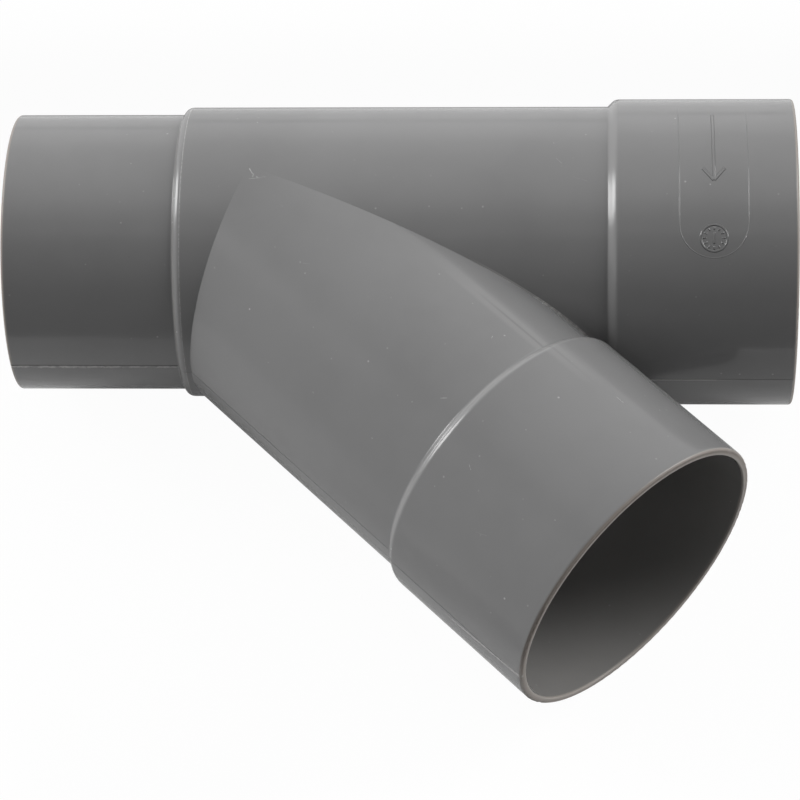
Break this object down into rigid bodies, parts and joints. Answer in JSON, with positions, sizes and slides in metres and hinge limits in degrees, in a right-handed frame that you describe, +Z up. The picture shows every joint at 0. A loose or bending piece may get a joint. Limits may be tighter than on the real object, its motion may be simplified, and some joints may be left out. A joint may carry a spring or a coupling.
{
  "type": "lateral wye pipe fitting",
  "caption": "Moulded 45 degree wye for round rainwater pipe: a straight run with a spigot and a socket, and an equal branch ending in a socket.",
  "frame": {"origin": "centre of the spigot's open end, on the run's axis", "axes": "+X along the run from the spigot to the main socket; the branch leaves towards -Y at 45 degrees to +X; +Z up, square to the plane of the two axes, as the fitting lies on its side"},
  "size_m": [0.1865, 0.1533, 0.0734],
  "materials": {
    "grey_pvc": "moulded, half gloss"
  },
  "bodies": {
    "root": {"wye_body": "grey_pvc"}
  },
  "joints": []
}
